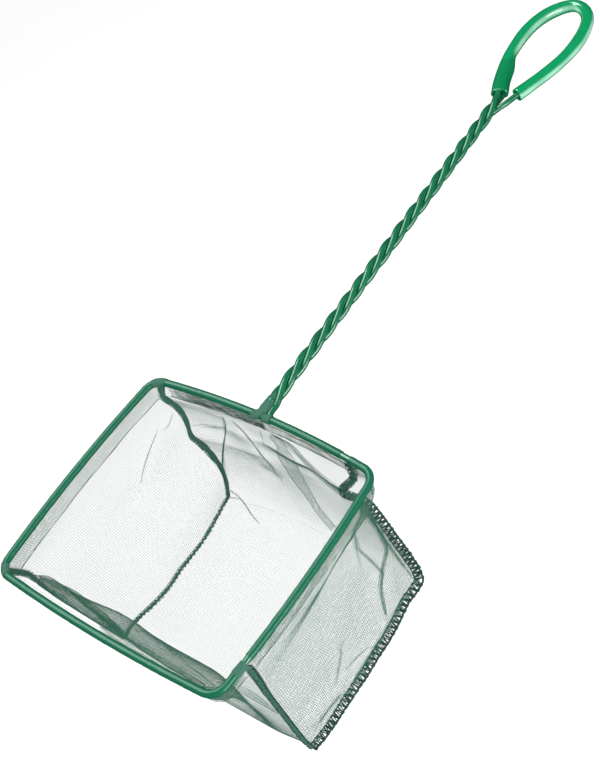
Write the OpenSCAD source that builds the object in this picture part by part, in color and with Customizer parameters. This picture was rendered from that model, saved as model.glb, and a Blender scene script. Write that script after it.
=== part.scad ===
// Aquarium fish net: a coated wire rim and three-strand twisted handle, with a sewn mesh bag.
// One length of wire makes the rim, the twist and the hand loop. The rim lies level, the bag
// hangs below it, the handle runs along +Y, and the origin is inside the hand loop's far end,
// where a hook or a finger bears.

/* [Rim] */
// Width of the rim between its corners, across the handle
rim_w = 150; // [110:1:190]
// Length of the rim between its corners, along the handle
rim_l = 130; // [95:1:165]
// How far each end side bows outward
end_bow = 2.8; // [1:0.1:6]
// How far the side away from the handle bows outward
front_bow = 2.5; // [1:0.1:6]
// How far the side that carries the handle bows outward
handle_bow = 5; // [2:0.1:8]
// Bend radius of the wire at the rim's corners
corner_r = 9; // [7:0.5:13]

/* [Wire] */
// Diameter of the steel inside the wire
steel_d = 2.4; // [1.8:0.1:2.8]
// Thickness of the plastic coat on the steel
coat_wall = 0.5; // [0.3:0.05:0.7]
// Clearance between the steel and its coat
coat_gap = 0.03; // [0.02:0.01:0.06]

/* [Handle] */
// Length of one full turn of the twist
twist_pitch = 40.5; // [36:0.5:46]
// Clearance between neighbouring strands of the twist
strand_gap = 0.1; // [0.05:0.01:0.3]
// Bend radius where the rim's two ends turn up into the handle
root_r = 4; // [3.2:0.1:6]
// Length over which the two rim strands open to let the third one in
root_run = 6; // [5:0.5:8]

/* [Hand loop] */
// Width of the loop between its wire centres
loop_w = 35.4; // [30:0.2:42]
// Distance from the loop's widest place to its far end
loop_rise = 35; // [30:0.5:38]
// Radius of the arms between the twist and the widest place
arm_r = 90; // [75:1:110]
// Radius of the shoulders between the widest place and the far end
shoulder_r = 100; // [80:1:140]
// Outside diameter of the soft sleeve on the loop
sleeve_d = 7.4; // [6.6:0.1:8.4]
// Bore of the sleeve
sleeve_bore = 4.2; // [3.8:0.05:4.6]
// Bare wire left between the twist and the sleeve
sleeve_start = 10; // [7:0.5:13]
// Length of the wire's cut end inside the sleeve
cut_run = 22; // [16:0.5:30]

/* [Bag] */
// Depth of the bag below the rim
bag_depth = 100; // [75:1:120]
// Thickness of the mesh cloth
mesh_t = 0.6; // [0.4:0.05:0.9]
// How far the left end panel leans inward at the bottom
left_draw = 18; // [4:0.5:26]
// How far the right end panel leans inward at the bottom
right_draw = 2; // [1:0.5:20]
// How far the wall below the handle leans inward at the bottom
handle_draw = 5; // [2:0.5:20]
// How far the wall away from the handle leans inward at the bottom
front_draw = 21; // [4:0.5:28]
// How far the wall away from the handle swells inward halfway down
front_swell = 12; // [0:0.5:16]
// Width of the ribs that stand for the mesh between its drawn openings
rib_w = 3; // [2:0.1:5]
// Radius of the fold between a wall and the bottom
fold_r = 9; // [6:0.5:14]
// How far the middle of the bottom hangs below its seams
bottom_sag = 4; // [1:0.5:8]

/* [Seams and hems] */
// Thickness of the cloth casing wrapped round the rim wire
hem_t = 0.35; // [0.2:0.05:0.6]
// Clearance between sewn cloth pieces, and between casing and wire
cloth_gap = 0.05; // [0.03:0.01:0.1]
// How far below the wire the hem's stitching runs
stitch_drop = 9; // [6:0.5:12]
// Diameter of the hem's stitching thread
stitch_d = 0.5; // [0.3:0.05:0.8]
// Width of an overlock seam
seam_d = 2.6; // [2:0.1:3.6]
// Height of the gathered cloth on the root of the twist
gather_h = 8; // [6:0.5:12]

/* [Hidden] */

$fa = 1;
$fs = 0.4;

wire_green = [0.06, 0.50, 0.34];
sleeve_green = [0.04, 0.62, 0.37];
mesh_green = [0.45, 0.56, 0.51];
hem_green = [0.16, 0.45, 0.35];
thread_green = [0.10, 0.24, 0.19];
steel_grey = [0.62, 0.63, 0.64];

wire_r = steel_d / 2 + coat_wall;
wire_d = 2 * wire_r;
bore_r = steel_d / 2 + coat_gap;
overrun = wire_d;

// Rim outline: each side is an arc, and the corners are tangent arcs inside them.
half_w = rim_w / 2;
half_l = rim_l / 2;
end_r = (half_l ^ 2 + end_bow ^ 2) / (2 * end_bow);
handle_side_r = (half_w ^ 2 + handle_bow ^ 2) / (2 * handle_bow);
front_side_r = (half_w ^ 2 + front_bow ^ 2) / (2 * front_bow);
end_c = [half_w + end_bow - end_r, 0];
handle_c = [0, half_l + handle_bow - handle_side_r];
front_c = [0, front_side_r - half_l - front_bow];

// The corner's centre lies where the two sides' circles, drawn in by its radius, cross.
function crossing(c1, r1, c2, r2, hand) =
    let (d = norm(c2 - c1), e = (c2 - c1) / d, a = (r1 ^ 2 - r2 ^ 2 + d ^ 2) / (2 * d))
    c1 + a * e + hand * sqrt(r1 ^ 2 - a ^ 2) * [-e.y, e.x];
function heading(v) = atan2(v.y, v.x);

back_corner = crossing(end_c, end_r - corner_r, handle_c, handle_side_r - corner_r, 1);
front_corner = crossing(end_c, end_r - corner_r, front_c, front_side_r - corner_r, -1);
back_corner_a = [heading(back_corner - end_c), heading(back_corner - handle_c)];
front_corner_a = [heading(front_corner - front_c), heading(front_corner - end_c)];

// Three strands touch round the twist's axis. The strands are drawn in short straight runs, so
// the radius allows for each run's chord and for the slant of the lay.
turn_steps = 8;
twist_turns = 6 - 60 / 360;
touch_r = (wire_d + strand_gap) / sqrt(3);
lay = atan(2 * PI * touch_r / twist_pitch);
helix_r = touch_r / (cos(180 / turn_steps) * sqrt(cos(lay)));
twist_l = twist_turns * twist_pitch;

// The rim's two ends bend up into the handle on arcs tangent to the handle side.
root_c = [
    helix_r + root_r,
    handle_c.y + sqrt((handle_side_r + root_r) ^ 2 - (helix_r + root_r) ^ 2)
];
root_a = asin((helix_r + root_r) / (handle_side_r + root_r));
twist_y = root_c.y;
neck_y = twist_y + twist_l;

// Hand loop: on each side an arm, a shoulder and half of the apex, each tangent to the next.
loop_hw = loop_w / 2;
arm_c = arm_r - loop_hw;
shoulder_c = shoulder_r - loop_hw;
arm_a = acos((arm_c + helix_r) / arm_r);
wide_y = neck_y + arm_r * sin(arm_a);
apex_r = (shoulder_r ^ 2 - shoulder_c ^ 2 - loop_rise ^ 2) / (2 * (shoulder_r - loop_rise));
apex_y = wide_y + loop_rise - apex_r;
shoulder_a = atan2(apex_y - wide_y, shoulder_c);
hook_y = apex_y + apex_r - sleeve_d / 2;

function smooth(x) = let (c = min(max(x, 0), 1)) c * c * (3 - 2 * c);
function mix(a, b, k) = a + (b - a) * k;
function unit(v) = v / norm(v);
function flip_x(p) = [-p.x, p.y, p.z];

// A strand's centre at height s above the root. The right strand starts opposite the left one
// and falls back by a sixth of a turn to make room for the third.
function twist_angle(s) = 360 * s / twist_pitch;
function helix(s, a) = [helix_r * cos(a), twist_y + s, helix_r * sin(a)];
function left_angle(s) = 180 + twist_angle(s);
function right_angle(s) = twist_angle(s) - 60 * smooth(s / root_run);
function tail_angle(s) = 60 + twist_angle(s);

// A point of the loop's right arm at the angle a below the widest place, drawn in by inset.
function arm_point(a, inset) =
    [(arm_r - inset) * cos(a) - arm_c, wide_y - (arm_r - inset) * sin(a), 0];

// Past the neck the tail strand leaves the twist for the right arm. The other two leave it for
// the left arm as a pair, which turns from one above the other to side by side.
neck_run = 12;
neck_steps = 5;
pair_half = helix_r * sin(60);
function arm_at(s, inset) = arm_point(arm_a - s * 180 / (PI * arm_r), inset);
function tail_neck() =
    [for (i = [1 : neck_steps])
        let (s = i * neck_run / neck_steps)
        mix(helix(twist_l + s, tail_angle(twist_l)), arm_at(s, 0), smooth(s / neck_run))];
function pair_neck(hand, run, steps) =
    [for (i = [1 : steps])
        let (s = i * run / steps, k = smooth(s / neck_run), along = arm_at(s, pair_half),
             middle = mix([-helix_r / 2, neck_y + s, 0], [-along.x, along.y, 0], k),
             out = unit(flip_x(arm_at(s, 0)) - [-along.x, along.y, 0]))
        middle + hand * pair_half * (sin(90 * k) * out + [0, 0, cos(90 * k)])];

twist_rings = round(turn_steps * twist_turns);
twist_step = twist_l / twist_rings;
tail_rings = floor((twist_l - root_run) / twist_step);
left_path = concat(
    [for (i = [0 : twist_rings]) helix(i * twist_step, left_angle(i * twist_step))],
    pair_neck(1, neck_run, neck_steps));
right_path = concat(
    [for (i = [0 : twist_rings]) helix(i * twist_step, right_angle(i * twist_step))],
    pair_neck(-1, sleeve_start + cut_run, 2 * neck_steps + 2));
tail_path = concat(
    [for (i = [twist_rings - tail_rings : twist_rings])
        helix(i * twist_step, tail_angle(i * twist_step))],
    tail_neck());
left_dir = unit(left_path[1] - left_path[0]);
right_dir = unit(right_path[1] - right_path[0]);
loop_dirs = [end_heading(tail_path), -end_heading(left_path)];

// The loop wire's right half from the neck to the apex, then its mirror image.
arm_rest = arm_a - neck_run * 180 / (PI * arm_r);
arm_steps = 5;
shoulder_steps = 5;
apex_steps = 4;
function half_loop(from_a) = concat(
    [for (i = [0 : arm_steps - 1]) arm_point(from_a * (1 - i / arm_steps), 0)],
    [for (i = [0 : shoulder_steps - 1])
        let (a = shoulder_a * i / shoulder_steps)
        [shoulder_r * cos(a) - shoulder_c, wide_y + shoulder_r * sin(a), 0]],
    [for (i = [0 : apex_steps])
        let (a = mix(shoulder_a, 90, i / apex_steps))
        [apex_r * cos(a), apex_y + apex_r * sin(a), 0]]);
function whole_loop(from_a) =
    let (h = half_loop(from_a), n = len(h))
    concat(h, [for (i = [2 : n]) flip_x(h[n - i])]);
loop_path = whole_loop(arm_rest);
sleeve_path = whole_loop(arm_a - sleeve_start * 180 / (PI * arm_r));

// The sleeve is drawn wide over the cut end: 1 along it, fading to 0 past the end.
cut_fade = 8;
function beside(p) = p.x > 0 || p.y > wide_y ? 0
    : 1 - smooth((p.y - neck_y - sleeve_start - cut_run) / cut_fade);

// The rim's line from its left end round to its right end: half of it, mirrored
function arc_points(c, r, from_a, to_a, n, first = 1) =
    [for (i = [first : n])
        let (a = mix(from_a, to_a, i / n))
        [c.x + r * cos(a), c.y + r * sin(a), 0]];
root_steps = 3;
side_steps = 5;
corner_steps = 4;
handle_part = arc_points(handle_c, handle_side_r, 90 - root_a, back_corner_a[1], side_steps);
back_part = arc_points(back_corner, corner_r, back_corner_a[1], back_corner_a[0], corner_steps);
end_part = arc_points(end_c, end_r, back_corner_a[0], front_corner_a[1], 2 * side_steps - 2);
front_corner_part =
    arc_points(front_corner, corner_r, front_corner_a[1], front_corner_a[0], corner_steps);
front_part = arc_points(front_c, front_side_r, front_corner_a[0], -90, side_steps - 2);
rim_half = concat(
    arc_points(root_c, root_r, 180, 270 - root_a, root_steps, 0),
    handle_part, back_part, end_part, front_corner_part, front_part);
function mirrored(h) =
    let (n = len(h)) concat([for (p = h) flip_x(p)], [for (i = [2 : n]) h[n - i]]);
rim_path = mirrored(rim_half);

// Swept tubes. A ring stands across its path with one axis square to the given normal, which
// no stretch of the path may follow. A ring may be drawn apart by spread, as a stadium.
level = [0, 0, 1];
upright = [1, 0, 0];
function headings(p, ends = []) =
    let (n = len(p) - 1)
    [for (i = [0 : n])
        i == 0 && len(ends) > 0 ? ends[0] : i == n && len(ends) > 1 ? ends[1]
            : unit(p[min(i + 1, n)] - p[max(i - 1, 0)])];
function end_heading(p) = let (n = len(p) - 1) unit(p[n] - p[n - 1]);
function ring(c, t, r, spread, sides, normal) =
    let (s = unit(cross(normal, t)), u = cross(t, s))
    [for (k = [0 : sides - 1])
        let (a = 360 * (k + 0.5) / sides, open = cos(a) > 0 ? spread : -spread)
        c + (cos(a) * r + open) * s + sin(a) * r * u];
function rings(p, r, spread, sides, normal, ends) =
    let (t = headings(p, ends))
    [for (i = [0 : len(p) - 1])
        each ring(p[i], t[i], r, is_list(spread) ? spread[i] : spread, sides, normal)];
function wall_faces(n, sides, first, inward) =
    [for (i = [0 : n - 2], k = [0 : sides - 1])
        let (a = first + i * sides + k, b = first + i * sides + (k + 1) % sides)
        each inward ? [[a, b, b + sides], [a, b + sides, a + sides]]
                    : [[a, a + sides, b + sides], [a, b + sides, b]]];
function cap_faces(sides, first, back) =
    [for (k = [1 : sides - 2])
        back ? [first, first + k + 1, first + k] : [first, first + k, first + k + 1]];
function rim_faces(sides, outer, inner, back) =
    [for (k = [0 : sides - 1])
        let (n = (k + 1) % sides)
        each back ? [[outer + k, inner + n, outer + n], [outer + k, inner + k, inner + n]]
                  : [[outer + k, outer + n, inner + n], [outer + k, inner + n, inner + k]]];

module rod(p, r, sides, ends = [], normal = level) {
    n = len(p);
    polyhedron(
        rings(p, r, 0, sides, normal, ends),
        concat(wall_faces(n, sides, 0, false), cap_faces(sides, 0, false),
               cap_faces(sides, (n - 1) * sides, true)));
}

module tube(p, r, bore, sides, ends = [], spread = 0) {
    n = len(p);
    m = n * sides;
    polyhedron(
        concat(rings(p, r, spread, sides, level, ends),
               rings(p, bore, spread, sides, level, ends)),
        concat(wall_faces(n, sides, 0, false), wall_faces(n, sides, m, true),
               rim_faces(sides, 0, m, false),
               rim_faces(sides, m - sides, 2 * m - sides, true)));
}

wire_sides = 8;
core_sides = 6;
sleeve_sides = 10;
seam_sides = 8;

module wire_core(p, ends) color(steel_grey) rod(p, steel_d / 2, core_sides, ends);
module wire_coat(p, ends) color(wire_green) tube(p, wire_r, bore_r, wire_sides, ends);

// Casings of folded cloth round the wire
casing_bore = wire_r + cloth_gap;
casing_r = casing_bore + hem_t;

// Bag. Seam tops hang below the middles of the rim's corners.
seam_r = seam_d / 2;
cloth_top = -casing_r - cloth_gap;
back_k = back_corner + corner_r * unit(back_corner - handle_c / 2 - end_c / 2);
front_k = front_corner + corner_r * unit(front_corner - front_c / 2 - end_c / 2);
hem_z = -stitch_drop - wire_r;

// Where a seam's bottom corners lie, on the left (-1) and the right (1)
function end_draw(side) = side < 0 ? left_draw : right_draw;
function low_back(side) = [side * (half_w - end_draw(side)), half_l - handle_draw, -bag_depth];
function low_front(side) = [side * (half_w - end_draw(side)), front_draw - half_l, -bag_depth];
function top_back(side) = [side * back_k.x, back_k.y, cloth_top];
function top_front(side) = [side * front_k.x, front_k.y, cloth_top];

// A seam's line, from the handle side down, along the bottom and up the front. The walls drop
// straight through the hem before they lean in.
wall_rows = 4;
fold_rows = 3;
floor_rows = 4;
function below_hem(p) = [p.x, p.y, hem_z];
function fold(a, b, c) =
    let (p = b + fold_r * unit(a - b), q = b + fold_r * unit(c - b))
    [for (i = [0 : fold_rows])
        let (k = i / fold_rows)
        mix(mix(p, b, k), mix(b, q, k), k)];
function run_of(a, b, n) = [for (i = [1 : n - 1]) mix(a, b, i / n)];
function seam_line(side) =
    let (tb = top_back(side), tf = top_front(side), b = low_back(side), f = low_front(side),
         fb = fold(below_hem(tb), b, f), ff = fold(b, f, below_hem(tf)))
    concat([tb, below_hem(tb)], run_of(below_hem(tb), fb[0], wall_rows), fb,
           run_of(fb[fold_rows], ff[0], floor_rows), ff,
           run_of(ff[fold_rows], below_hem(tf), wall_rows), [below_hem(tf), tf]);

// A cloth panel is a grid of points with a thickness. Each face is two triangles. A cell of the
// rows in open_rows, away from the panel's sides, is cut through inside its ribs.
function grid_normal(g, i, j) =
    let (rows = len(g) - 1, cols = len(g[0]) - 1,
         along = g[min(i + 1, rows)][j] - g[max(i - 1, 0)][j],
         over = g[i][min(j + 1, cols)] - g[i][max(j - 1, 0)])
    unit(cross(along, over));
function cell_point(g, i, j, u, v) =
    mix(mix(g[i][j], g[i][j + 1], u), mix(g[i + 1][j], g[i + 1][j + 1], u), v);
// The opening's corners in one face of a cell, in the order of the cell's own corners
function opening(g, i, j) =
    let (u = rib_w / 2 / norm(g[i][j + 1] - g[i][j]), v = rib_w / 2 / norm(g[i + 1][j] - g[i][j]))
    [cell_point(g, i, j, u, v), cell_point(g, i, j, 1 - u, v),
     cell_point(g, i, j, 1 - u, 1 - v), cell_point(g, i, j, u, 1 - v)];
function frame_faces(a, b, c) =
    [for (k = [0 : 3]) let (n = (k + 1) % 4)
        each c ? [[a[k], b + n, a[n]], [a[k], b + k, b + n]]
               : [[a[k], a[n], b + n], [a[k], b + n, b + k]]];
module cloth(g, open_rows) {
    rows = len(g);
    cols = len(g[0]);
    m = rows * cols;
    function face_grid(side) = [for (i = [0 : rows - 1])
        [for (j = [0 : cols - 1]) g[i][j] + side * grid_normal(g, i, j) * mesh_t / 2]];
    front = face_grid(1);
    back = face_grid(-1);
    cut = [for (i = open_rows, j = [1 : cols - 3]) [i, j]];
    whole = [for (i = [0 : rows - 2], j = [0 : cols - 2])
        if (len([for (c = cut) if (c == [i, j]) c]) == 0) [i, j]];
    first = 2 * m;
    second = first + 4 * len(cut);
    function at(i, j) = i * cols + j;
    function corners(c) =
        [at(c[0], c[1]), at(c[0], c[1] + 1), at(c[0] + 1, c[1] + 1), at(c[0] + 1, c[1])];
    polyhedron(
        concat(
            [for (row = front) each row], [for (row = back) each row],
            [for (c = cut) each opening(front, c[0], c[1])],
            [for (c = cut) each opening(back, c[0], c[1])]),
        concat(
            [for (c = whole) let (q = corners(c))
                each [[q[0], q[1], q[2]], [q[0], q[2], q[3]],
                      [m + q[0], m + q[2], m + q[1]], [m + q[0], m + q[3], m + q[2]]]],
            [for (n = [0 : len(cut) - 1]) let (q = corners(cut[n]), b = first + 4 * n)
                each frame_faces(q, b, false)],
            [for (n = [0 : len(cut) - 1]) let (q = [for (c = corners(cut[n])) m + c],
                                               b = second + 4 * n)
                each frame_faces(q, b, true)],
            [for (n = [0 : len(cut) - 1], k = [0 : 3])
                let (b = first + 4 * n, c = second + 4 * n, e = (k + 1) % 4)
                each [[b + k, b + e, c + e], [b + k, c + e, c + k]]],
            [for (i = [0 : rows - 2]) let (a = at(i, 0), b = at(i + 1, 0))
                each [[a, b, m + b], [a, m + b, m + a]]],
            [for (i = [0 : rows - 2]) let (a = at(i, cols - 1), b = at(i + 1, cols - 1))
                each [[a, m + b, b], [a, m + a, m + b]]],
            [for (j = [0 : cols - 2]) let (a = at(0, j), b = at(0, j + 1))
                each [[a, m + b, b], [a, m + a, m + b]]],
            [for (j = [0 : cols - 2]) let (a = at(rows - 1, j), b = at(rows - 1, j + 1))
                each [[a, b, m + b], [a, m + b, m + a]]]));
}

// The rim's line: how far out each side is at x across or y along it, corners included
function corner_out(c, x) = c.y + sqrt(max(corner_r ^ 2 - (abs(x) - c.x) ^ 2, 0));
function handle_side_y(x) = abs(x) < handle_part[side_steps - 1].x
    ? handle_c.y + sqrt(handle_side_r ^ 2 - x ^ 2) : corner_out(back_corner, x);
function front_side_y(x) = abs(x) < front_part[0].x
    ? sqrt(front_side_r ^ 2 - x ^ 2) - front_c.y : corner_out(-flip_x(front_corner), x);
function end_side_x(y) = let (c = y > 0 ? back_corner : -flip_x(front_corner))
    abs(y) < c.y ? end_c.x + sqrt(end_r ^ 2 - y ^ 2)
        : c.x + sqrt(max(corner_r ^ 2 - (abs(y) - c.y) ^ 2, 0));
edge_in = seam_r + cloth_gap;
// Columns of a cloth's grid crowd towards its edges, where the corners bend.
function crowded(j, n) = (1 - cos(180 * j / n)) / 2;

// The strip is one cloth: down the handle side, along the bottom and up the front. Its bow
// fades from the rim to the bottom, where its middle sags instead.
strip_cols = 9;
bow_left_share = 0.25;
function bow_share(z) = mix(1, bow_left_share, smooth((z - hem_z) / (-bag_depth - hem_z)));
strip_rows = len(seam_line(1));
function strip_point(i, k) =
    let (a = seam_line(-1)[i] + [edge_in, 0, 0], b = seam_line(1)[i] - [edge_in, 0, 0],
         p = mix(a, b, k), u = 2 * k - 1, back = i < strip_rows / 2,
         x = u * ((back ? back_k.x : front_k.x) - edge_in),
         rise = back ? handle_side_y(x) - back_k.y : -front_side_y(x) - front_k.y,
         deep = smooth((p.z + bag_depth - fold_r) / -fold_r),
         swell = back ? 0 : front_swell * sin(180 * min((hem_z - p.z) / (bag_depth + hem_z), 1)))
    p + [0, rise * bow_share(p.z) + max(swell, 0) * (1 - u ^ 4),
         -bottom_sag * deep * (1 - u ^ 2) * (1 - floor_u(i) ^ 2)];
function floor_u(i) = min(max((2 * i - strip_rows + 1) / (floor_rows + 2 * fold_rows), -1), 1);
strip_grid = [for (i = [0 : strip_rows - 1])
    [for (j = [0 : strip_cols]) strip_point(i, crowded(j, strip_cols))]];
wall_cuts = [for (i = [1 : wall_rows]) i];
floor_cuts = [for (i = [1 : floor_rows]) wall_rows + fold_rows + i];
front_cuts = [for (i = [1 : wall_rows]) strip_rows - 2 - i];

// An end panel fills one seam's U.
end_cols = 8;
end_rows = 1 + wall_rows + fold_rows;
function end_point(side, i, k) =
    let (line = seam_line(side), n = len(line) - 1,
         a = line[i] - [0, edge_in, 0], b = line[n - i] + [0, edge_in, 0],
         p = mix(a, b, k), y = mix(back_k.y - edge_in, front_k.y + edge_in, k),
         lift = i > 1 + wall_rows ? edge_in * (i - 1 - wall_rows) / fold_rows : 0)
    p + [side * (end_side_x(y) - mix(back_k.x, front_k.x, k)) * bow_share(p.z), 0, lift];
function end_grid(side) = [for (i = [0 : end_rows])
    [for (j = [0 : end_cols])
        end_point(side, i, crowded(side < 0 ? end_cols - j : j, end_cols))]];

// The gathered cloth is a tapered collar on the root of the twist.
gather_bore = helix_r + wire_r + strand_gap;
gather_flare = 2.2;

// Least distance between the surfaces of two strands, from their drawn centres
function least(p, q) = min([for (a = p, b = q) norm(a - b)]) - wire_d;
echo(neck_y = neck_y, wide_y = wide_y, apex_y = apex_y, apex_r = apex_r, hook_y = hook_y);
echo(least_gap_left_to_right = least(left_path, right_path));
echo(least_gap_left_to_tail = least(left_path, tail_path));
echo(least_gap_right_to_tail = least(right_path, tail_path));

// The part's frame has its origin in the loop's far end, where a hook bears.
module in_frame() translate([0, -hook_y, 0]) children();

module rim_core() in_frame() wire_core(rim_path, [-left_dir, right_dir]);
module rim_coat() in_frame() wire_coat(rim_path, [-left_dir, right_dir]);
module left_strand_core() in_frame() wire_core(left_path, [left_dir]);
module left_strand_coat() in_frame() wire_coat(left_path, [left_dir]);
module right_strand_core() in_frame() wire_core(right_path, [right_dir]);
module right_strand_coat() in_frame() wire_coat(right_path, [right_dir]);
module tail_strand_core() in_frame() wire_core(tail_path, []);
module tail_strand_coat() in_frame() wire_coat(tail_path, []);
module loop_core() in_frame() wire_core(loop_path, loop_dirs);
module loop_coat() in_frame() wire_coat(loop_path, loop_dirs);

module loop_sleeve() in_frame() color(sleeve_green) {
    drawn = [for (p = sleeve_path) pair_half * beside(p)];
    t = headings(sleeve_path);
    middle = [for (i = [0 : len(sleeve_path) - 1])
        sleeve_path[i] + drawn[i] * unit(cross(level, t[i]))];
    tube(middle, sleeve_d / 2, sleeve_bore / 2, sleeve_sides, [], drawn);
}

module net_strip() in_frame() color(mesh_green)
    cloth(strip_grid, concat(wall_cuts, floor_cuts, front_cuts));
module left_end_panel() in_frame() color(mesh_green) cloth(end_grid(-1), wall_cuts);
module right_end_panel() in_frame() color(mesh_green) cloth(end_grid(1), wall_cuts);

module overlock_seam(side) in_frame() color(thread_green) {
    line = seam_line(side);
    n = len(line) - 1;
    rod([for (i = [0 : n])
        i == 0 || i == n ? [line[i].x, line[i].y, cloth_top - cloth_gap] : line[i]],
        seam_r, seam_sides, [], upright);
}
module left_overlock_seam() overlock_seam(-1);
module right_overlock_seam() overlock_seam(1);

// A casing covers its run of the rim's line.
module casing(p) color(hem_green) tube(p, casing_r, casing_bore, wire_sides);
module both_sides() {
    children();
    mirror([1, 0, 0]) children();
}
module handle_hem() in_frame() both_sides() casing(handle_part);
end_hem_path = concat(
    [handle_part[side_steps - 1]], back_part, end_part, front_corner_part);
module right_hem() in_frame() casing(end_hem_path);
module left_hem() in_frame() mirror([1, 0, 0]) casing(end_hem_path);
module front_hem() in_frame()
    casing(mirrored(concat([front_corner_part[corner_steps - 1]], front_part)));

// The stitching runs along the cloth's inner face below the wire.
thread_r = stitch_d / 2;
thread_in = mesh_t / 2 + thread_r + 2 * cloth_gap;
thread_sides = 5;
module sewn(c, r, from_a, to_a)
    rod([for (p = arc_points(c, r - thread_in, from_a, to_a, 2 * side_steps, 0))
            [p.x, p.y, hem_z]],
        thread_r, thread_sides);
module hem_stitching() in_frame() color(thread_green) {
    sewn(handle_c, handle_side_r, 180 - back_corner_a[1], back_corner_a[1]);
    sewn(front_c, front_side_r, front_corner_a[0], -180 - front_corner_a[0]);
    both_sides() sewn(end_c, end_r, back_corner_a[0], front_corner_a[1]);
}

module base_gather() in_frame() color(hem_green)
    translate([0, twist_y, 0]) rotate([-90, 0, 0]) difference() {
        cylinder(h = gather_h, r1 = gather_bore + gather_flare, r2 = gather_bore + hem_t);
        translate([0, 0, -overrun])
            cylinder(h = gather_h + 2 * overrun, r = gather_bore);
    }

rim_core();
rim_coat();
left_strand_core();
left_strand_coat();
right_strand_core();
right_strand_coat();
tail_strand_core();
tail_strand_coat();
loop_core();
loop_coat();
loop_sleeve();
net_strip();
left_end_panel();
right_end_panel();
left_overlock_seam();
right_overlock_seam();
handle_hem();
left_hem();
right_hem();
front_hem();
hem_stitching();
base_gather();
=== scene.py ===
import math

import bpy
import numpy as np
from mathutils import Matrix


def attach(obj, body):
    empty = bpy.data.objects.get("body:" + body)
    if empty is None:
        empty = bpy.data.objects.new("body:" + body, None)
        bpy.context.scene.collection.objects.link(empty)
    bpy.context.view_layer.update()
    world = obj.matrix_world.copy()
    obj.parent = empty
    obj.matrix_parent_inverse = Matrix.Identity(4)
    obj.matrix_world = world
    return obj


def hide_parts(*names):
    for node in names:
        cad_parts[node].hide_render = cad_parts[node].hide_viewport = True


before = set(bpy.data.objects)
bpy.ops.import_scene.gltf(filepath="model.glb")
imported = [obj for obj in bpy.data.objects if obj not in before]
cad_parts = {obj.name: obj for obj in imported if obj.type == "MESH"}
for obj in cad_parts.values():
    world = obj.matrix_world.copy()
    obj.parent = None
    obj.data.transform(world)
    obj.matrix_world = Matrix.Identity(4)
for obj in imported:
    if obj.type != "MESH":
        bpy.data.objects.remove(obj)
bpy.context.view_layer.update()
scene = bpy.context.scene
rng = np.random.default_rng(11)
print("frame loaded", len(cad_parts), "nodes")

# Lengths below are millimetres from the middle of the rim; hookY is the CAD origin's place there.
hookY = 391.953
upDir = np.array([0.0, 0.0, 1.0])
facing = np.array([0.571, -0.362, 0.737])  # the way that loose seam edges lie open


def unitOf(v):
    return v / np.maximum(np.linalg.norm(v, axis=-1, keepdims=True), 1e-9)


def smoothStep(x):
    x = np.clip(x, 0, 1)
    return x * x * (3 - 2 * x)


# Camera, floor and light
camSet = {
    "place": (412.7, -161.2, 528.7),
    "right": (0.7637, 0.5640, -0.3142),
    "up": (-0.3020, 0.7430, 0.5974),
    "back": (0.5706, -0.3614, 0.7375),
    "lens": 65.9,
}
camData = bpy.data.cameras.new("camera")
camData.lens = camSet["lens"]
camData.sensor_width = 36
camData.clip_start = 0.05
camData.clip_end = 20
camObj = bpy.data.objects.new("camera", camData)
scene.collection.objects.link(camObj)
spot = (np.array(camSet["place"]) - [0, hookY, 0]) / 1000
camObj.matrix_world = Matrix(
    [[camSet["right"][i], camSet["up"][i], camSet["back"][i], spot[i]] for i in range(3)]
    + [[0, 0, 0, 1]]
)
scene.camera = camObj

scene.view_settings.view_transform = "Standard"
scene.view_settings.look = "None"
scene.view_settings.exposure = 0
scene.view_settings.gamma = 1


def nodeMaterial(name):
    mat = bpy.data.materials.new(name)
    mat.use_nodes = True
    tree = mat.node_tree
    shader = tree.nodes["Principled BSDF"]
    return mat, tree, shader


def setInputs(node, values):
    for name, value in values.items():
        node.inputs[name].default_value = value


def mixedColour(tree, shader, low, high, scale, rough, bump=None):
    # colour that drifts between two tones by noise in object coordinates
    where = tree.nodes.new("ShaderNodeTexCoord")
    noise = tree.nodes.new("ShaderNodeTexNoise")
    setInputs(noise, {"Scale": scale, "Detail": 3})
    tree.links.new(where.outputs["Object"], noise.inputs["Vector"])
    ramp = tree.nodes.new("ShaderNodeValToRGB")
    for i, place, tone in ((0, 0.3, low), (1, 0.7, high)):
        ramp.color_ramp.elements[i].position = place
        ramp.color_ramp.elements[i].color = (*tone, 1)
    tree.links.new(noise.outputs["Fac"], ramp.inputs["Fac"])
    tree.links.new(ramp.outputs["Color"], shader.inputs["Base Color"])
    if bump:
        lift = tree.nodes.new("ShaderNodeBump")
        setInputs(lift, {"Strength": bump[0], "Distance": bump[1]})
        tree.links.new(noise.outputs["Fac"], lift.inputs["Height"])
        tree.links.new(lift.outputs["Normal"], shader.inputs["Normal"])
    shader.inputs["Roughness"].default_value = rough


floorSet = {"z": -1.1, "half": 9.0, "glow": 0.33, "low": (0.93, 0.93, 0.93),
            "high": (0.94, 0.94, 0.94)}
floorMat, tree, shader = nodeMaterial("paleFloor")
mixedColour(tree, shader, floorSet["low"], floorSet["high"], 2.0, rough=0.9)
setInputs(shader, {"Specular IOR Level": 0.0, "Emission Color": (1, 1, 1, 1),
                   "Emission Strength": floorSet["glow"]})

floorMesh = bpy.data.meshes.new("floor")
half, floorZ = floorSet["half"], floorSet["z"]
floorMesh.from_pydata(
    [(-half, -half, floorZ), (half, -half, floorZ), (half, half, floorZ), (-half, half, floorZ)],
    [], [(0, 1, 2, 3)],
)
floorMesh.materials.append(floorMat)
floorObj = bpy.data.objects.new("floor", floorMesh)
scene.collection.objects.link(floorObj)
floorObj.visible_glossy = False

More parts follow.
